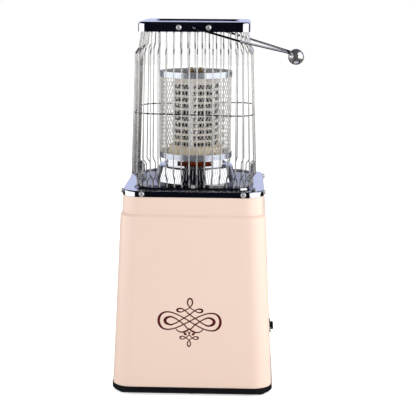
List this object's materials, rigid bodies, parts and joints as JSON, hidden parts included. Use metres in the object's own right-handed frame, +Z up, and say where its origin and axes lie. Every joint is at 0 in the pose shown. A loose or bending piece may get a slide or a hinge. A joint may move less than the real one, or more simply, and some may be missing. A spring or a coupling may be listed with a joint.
{
  "type": "ceramic heater",
  "caption": "Portable electric heater: a slotted ceramic core behind a mesh guard and wire cage on a tapered square base, with a chromed cap and a swinging bail handle ending in a ball.",
  "frame": {"origin": "centre of the square footprint, on the floor under the rubber feet", "axes": "+Z up, -Y towards the front, +X towards the side with the switch, where the handle lies"},
  "size_m": [0.2834, 0.241, 0.5478],
  "materials": {
    "black_plastic": "moulded satin black",
    "rubber": "moulded rubber",
    "peach_enamel": "smooth stoved enamel, pale peach",
    "chrome": "bright plating",
    "wire": "plated drawn wire",
    "plated_steel": "nickel plated",
    "zinc_sheet": "galvanised sheet",
    "ceramic": "unglazed fired ceramic",
    "refractory": "unglazed red refractory",
    "carbide": "fired dark element",
    "brass": "bright machined",
    "pale_plastic": "moulded heat-proof plastic",
    "grey_plastic": "moulded plastic"
  },
  "bodies": {
    "heater": {"base_tray": "black_plastic", "switch_housing": "black_plastic", "cord_gland": "black_plastic", "feet": "rubber", "body_shell": "peach_enamel", "deck_tray": "chrome", "pedestal": "chrome", "core_stand": "chrome", "mesh_bottom_band": "chrome", "mesh_top_band": "chrome", "top_cap": "chrome", "cage_wires_front": "wire", "cage_wires_right": "wire", "cage_wires_back": "wire", "cage_wires_left": "wire", "cage_base_ring": "wire", "cage_waist_ring": "wire", "cage_top_ring": "wire", "mesh_guard": "wire", "base_screws": "plated_steel", "deck_screws": "plated_steel", "cap_screws": "plated_steel", "clip_screws": "plated_steel", "cage_clips": "plated_steel", "core_rails": "plated_steel", "heat_shield": "zinc_sheet", "shield_spacers": "zinc_sheet", "pivot_plates": "zinc_sheet", "stud_nuts": "zinc_sheet", "ceramic_core": "ceramic", "terminal_disc": "ceramic", "core_seat": "refractory", "heating_bars": "carbide", "terminal_studs": "brass", "terminal_nuts": "brass", "block_screws": "brass", "switch_blades": "brass", "terminal_block": "pale_plastic", "thermal_cutout": "pale_plastic", "tipover_switch": "grey_plastic"},
    "handle": {"handle_arm_front": "chrome", "handle_arm_back": "chrome", "handle_ball": "chrome", "pivot_caps": "plated_steel"},
    "rocker": {"switch_rocker": "black_plastic"},
    "plunger": {"tipover_plunger": "grey_plastic"}
  },
  "joints": [
    {"name": "handle_swing", "type": "hinge", "parent": "heater", "child": "handle", "pos_m": [0, 0, 0.54], "axis": [0, -1, 0], "range_deg": [0, 214]},
    {"name": "switch_rock", "type": "hinge", "parent": "heater", "child": "rocker", "pos_m": [0.11411, 0, 0.07591], "axis": [-0.0459, 0, 0.9989], "range_deg": [0, 24]},
    {"name": "plunger_drop", "type": "slide", "parent": "heater", "child": "plunger", "axis": [0, 0, -1], "range_m": [0, 0.005], "stiffness_N_per_m": 50, "springref_m": 0.006}
  ]
}
